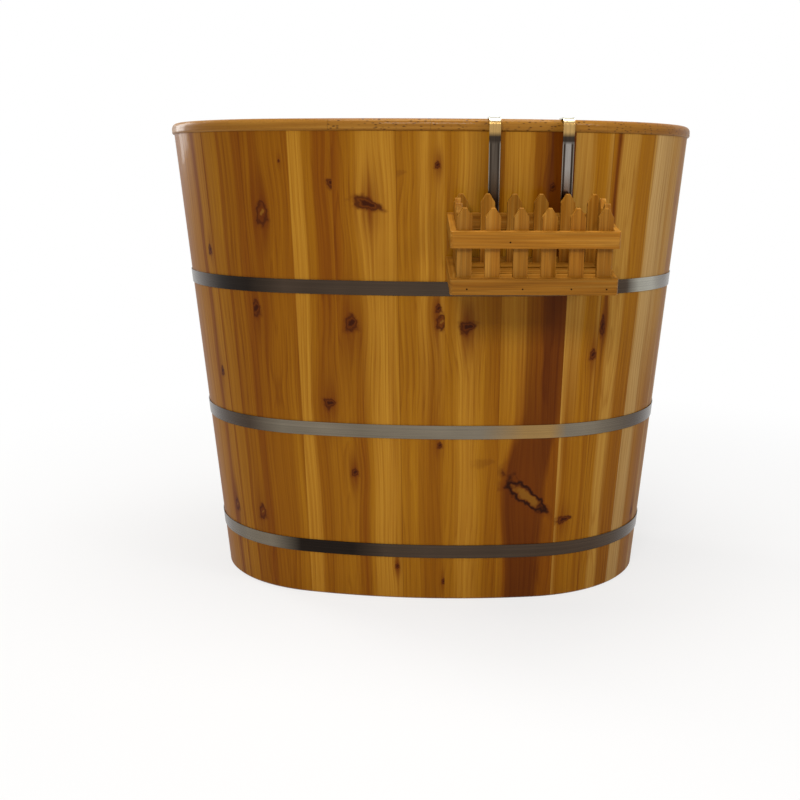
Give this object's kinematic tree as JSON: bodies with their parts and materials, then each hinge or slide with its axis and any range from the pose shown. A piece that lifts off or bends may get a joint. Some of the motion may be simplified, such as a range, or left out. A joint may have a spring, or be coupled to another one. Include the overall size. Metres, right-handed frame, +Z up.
{
  "type": "wooden bath bucket",
  "caption": "Oval coopered wooden bathtub with leaning staves, steel hoops, a rounded rim, a drained floor with a lift-out plug, and a picket caddy that hooks over the rim.",
  "frame": {"origin": "centre of the foot on the ground, on the underside of the middle floor bearer", "axes": "+X along the bucket's length, -Y to the front where the caddy hangs, +Z up"},
  "size_m": [0.923, 0.7916, 0.8015],
  "materials": {
    "stave_wood": "clear gloss lacquer on fir",
    "rim_wood": "clear gloss lacquer",
    "floor_wood": "clear lacquer on fir",
    "caddy_wood": "clear satin lacquer",
    "hoop_steel": "cold-rolled stainless strip",
    "strap_steel": "bright stainless channel",
    "fastener_steel": "stainless",
    "drain_metal": "chrome plate on brass",
    "rubber": "moulded black rubber"
  },
  "bodies": {
    "tub": {"stave_front_1": "stave_wood", "stave_front_2": "stave_wood", "stave_front_3": "stave_wood", "stave_front_4": "stave_wood", "stave_front_5": "stave_wood", "stave_right_1": "stave_wood", "stave_right_2": "stave_wood", "stave_right_3": "stave_wood", "stave_right_4": "stave_wood", "stave_right_5": "stave_wood", "stave_right_6": "stave_wood", "stave_right_7": "stave_wood", "stave_right_8": "stave_wood", "stave_right_9": "stave_wood", "stave_back_1": "stave_wood", "stave_back_2": "stave_wood", "stave_back_3": "stave_wood", "stave_back_4": "stave_wood", "stave_back_5": "stave_wood", "stave_left_1": "stave_wood", "stave_left_2": "stave_wood", "stave_left_3": "stave_wood", "stave_left_4": "stave_wood", "stave_left_5": "stave_wood", "stave_left_6": "stave_wood", "stave_left_7": "stave_wood", "stave_left_8": "stave_wood", "stave_left_9": "stave_wood", "rim_front": "rim_wood", "rim_right": "rim_wood", "rim_back": "rim_wood", "rim_left": "rim_wood", "hoop_top": "hoop_steel", "hoop_middle": "hoop_steel", "hoop_bottom": "hoop_steel", "hoop_rivets": "fastener_steel", "floor_board_1": "floor_wood", "floor_board_2": "floor_wood", "floor_board_3": "floor_wood", "floor_board_4": "floor_wood", "floor_board_5": "floor_wood", "floor_bearers": "floor_wood", "drain_body": "drain_metal", "drain_gasket": "rubber", "drain_locknut": "drain_metal"},
    "plug": {"drain_plug": "rubber", "plug_knob": "drain_metal"},
    "caddy": {"caddy_front_top_rail": "caddy_wood", "caddy_front_bottom_rail": "caddy_wood", "caddy_back_top_rail": "caddy_wood", "caddy_back_bottom_rail": "caddy_wood", "caddy_left_rails": "caddy_wood", "caddy_right_rails": "caddy_wood", "caddy_front_pickets": "caddy_wood", "caddy_back_pickets": "caddy_wood", "caddy_side_pickets": "caddy_wood", "caddy_floor_slats": "caddy_wood", "caddy_left_strap": "strap_steel", "caddy_right_strap": "strap_steel", "caddy_screws": "fastener_steel"}
  },
  "joints": [
    {"name": "caddy_lift", "type": "slide", "parent": "tub", "child": "caddy", "axis": [0.0195, -0.1714, 0.985], "range_m": [0, 0.3]},
    {"name": "plug_lift", "type": "slide", "parent": "tub", "child": "plug", "axis": [0, 0, 1], "range_m": [0, 0.75]}
  ]
}
